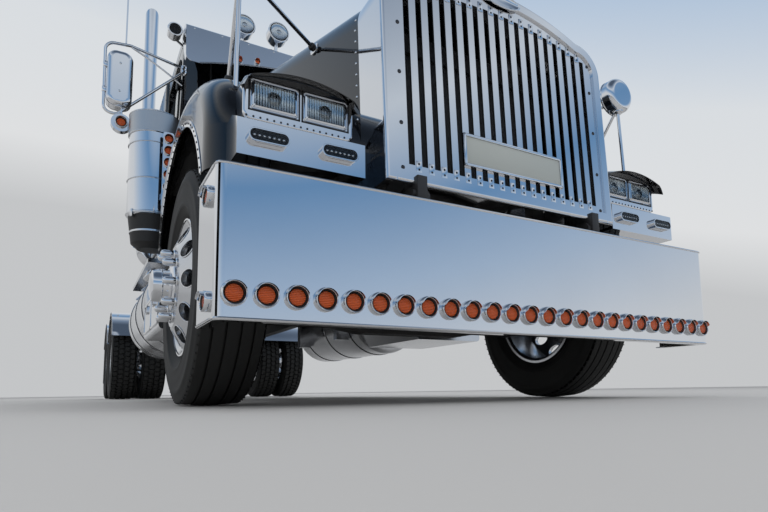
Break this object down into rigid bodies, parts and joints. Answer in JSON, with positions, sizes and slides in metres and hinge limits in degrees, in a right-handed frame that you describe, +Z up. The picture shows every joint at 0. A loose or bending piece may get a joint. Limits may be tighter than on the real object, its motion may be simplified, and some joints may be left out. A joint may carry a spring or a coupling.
{
  "type": "semi truck tractor unit",
  "caption": "Long-nose conventional tractor unit with a polished flat bumper and amber lights, upright grille bars, short sleeper, twin stacks, tandem drive axles and a fifth wheel.",
  "frame": {"origin": "on the ground at the centre of the whole truck's box", "axes": "+Z up, the truck faces -Y, +X is the truck's left side"},
  "size_m": [3.0088, 8.33, 4.1],
  "materials": {
    "black_paint": "gloss black paint",
    "polished": "polished bright metal",
    "frame_black": "satin black chassis paint",
    "alloy": "polished alloy",
    "brushed": "brushed steel",
    "axle_iron": "painted cast iron",
    "tyre": "tyre rubber",
    "rubber": "flap rubber",
    "amber_lens": "ribbed amber lens",
    "red_lens": "red lens",
    "clear_glass": "tinted glass",
    "engine_paint": "engine paint",
    "cab_trim": "cab trim",
    "seat_leather": "seat leather"
  },
  "bodies": {
    "root": {"chassis_frame": "frame_black", "bumper": "polished", "bumper_lights": "amber_lens", "engine_block": "engine_paint", "radiator": "frame_black", "drive_shafts": "axle_iron", "front_axle": "axle_iron", "suspension_springs": "axle_iron", "drive_axles": "axle_iron", "cab_shell": "black_paint", "sleeper_shell": "black_paint", "windscreen": "clear_glass", "sun_visor": "polished", "seats": "seat_leather", "dashboard": "cab_trim", "air_cleaners": "polished", "exhaust_stacks": "polished", "fuel_tanks": "alloy", "step_boxes": "alloy", "rear_fenders": "polished", "mud_flaps": "rubber", "roof_lamps": "polished", "tail_lights": "red_lens", "deck_plate": "alloy", "side_mirrors": "polished", "fifth_wheel_base": "frame_black"},
    "hood": {"hood_shell": "black_paint", "front_fenders": "black_paint", "grille_surround": "polished", "grille_bars": "polished", "headlights": "polished", "fender_mirrors": "polished"},
    "left_door": {"door_left": "black_paint", "door_glass_left": "clear_glass"},
    "right_door": {"door_right": "black_paint", "door_glass_right": "clear_glass"},
    "left_knuckle": {"knuckle_left": "axle_iron"},
    "right_knuckle": {"knuckle_right": "axle_iron"},
    "tie_rod": {"tie_rod": "axle_iron"},
    "steering_wheel": {"steering_wheel": "cab_trim"},
    "fifth_wheel": {"fifth_wheel_plate": "axle_iron"},
    "front_wheel_left": {"front_tyre_left": "tyre", "front_rim_left": "alloy"},
    "first_drive_wheels_left": {"dual_tyres_first_left": "tyre", "dual_rims_first_left": "alloy"},
    "second_drive_wheels_left": {"dual_tyres_second_left": "tyre", "dual_rims_second_left": "alloy"},
    "front_wheel_right": {"front_tyre_right": "tyre", "front_rim_right": "alloy"},
    "first_drive_wheels_right": {"dual_tyres_first_right": "tyre", "dual_rims_first_right": "alloy"},
    "second_drive_wheels_right": {"dual_tyres_second_right": "tyre", "dual_rims_second_right": "alloy"}
  },
  "joints": [
    {"name": "hood_tilt", "type": "hinge", "parent": "root", "child": "hood", "pos_m": [0, -4.075, 0.785], "axis": [1, 0, 0], "range_deg": [0, 75]},
    {"name": "left_door_hinge", "type": "hinge", "parent": "root", "child": "left_door", "pos_m": [1.015, -1.635, 1.48], "axis": [0, 0, -1], "range_deg": [0, 70]},
    {"name": "right_door_hinge", "type": "hinge", "parent": "root", "child": "right_door", "pos_m": [-1.015, -1.635, 1.48], "axis": [0, 0, 1], "range_deg": [0, 70]},
    {"name": "steer_right", "type": "hinge", "parent": "root", "child": "right_knuckle", "pos_m": [-0.86, -3.205, 0.52], "axis": [0, 0, 1], "range_deg": [-35, 35]},
    {"name": "steer_left", "type": "hinge", "parent": "root", "child": "left_knuckle", "pos_m": [0.86, -3.205, 0.52], "axis": [0, 0, 1], "range_deg": [-35, 35]},
    {"name": "tie_rod_pivot", "type": "hinge", "parent": "right_knuckle", "child": "tie_rod", "pos_m": [-0.86, -3.005, 0.4127], "axis": [0, 0, 1], "range_deg": [-35, 35]},
    {"name": "steering_wheel_turn", "type": "hinge", "parent": "root", "child": "steering_wheel", "pos_m": [0.48, -1.435, 1.99], "axis": [0, 0.5, 0.866], "range_deg": [-630, 630]},
    {"name": "fifth_wheel_tilt", "type": "hinge", "parent": "root", "child": "fifth_wheel", "pos_m": [0, 2.815, 1.12], "axis": [1, 0, 0], "range_deg": [-15, 15]},
    {"name": "front_wheel_left_spin", "type": "hinge", "parent": "left_knuckle", "child": "front_wheel_left", "pos_m": [1.05, -3.205, 0.52], "axis": [1, 0, 0], "continuous": true},
    {"name": "first_drive_left_spin", "type": "hinge", "parent": "root", "child": "first_drive_wheels_left", "pos_m": [0.908, 2.235, 0.52], "axis": [1, 0, 0], "continuous": true},
    {"name": "second_drive_left_spin", "type": "hinge", "parent": "root", "child": "second_drive_wheels_left", "pos_m": [0.908, 3.555, 0.52], "axis": [1, 0, 0], "continuous": true},
    {"name": "front_wheel_right_spin", "type": "hinge", "parent": "right_knuckle", "child": "front_wheel_right", "pos_m": [-1.05, -3.205, 0.52], "axis": [1, 0, 0], "continuous": true},
    {"name": "first_drive_right_spin", "type": "hinge", "parent": "root", "child": "first_drive_wheels_right", "pos_m": [-0.908, 2.235, 0.52], "axis": [1, 0, 0], "continuous": true},
    {"name": "second_drive_right_spin", "type": "hinge", "parent": "root", "child": "second_drive_wheels_right", "pos_m": [-0.908, 3.555, 0.52], "axis": [1, 0, 0], "continuous": true}
  ],
  "couplings": [
    {"joint": "steer_left", "follows": "steer_right", "ratio": 1},
    {"joint": "tie_rod_pivot", "follows": "steer_right", "ratio": -1},
    {"joint": "steering_wheel_turn", "follows": "steer_right", "ratio": 18}
  ]
}
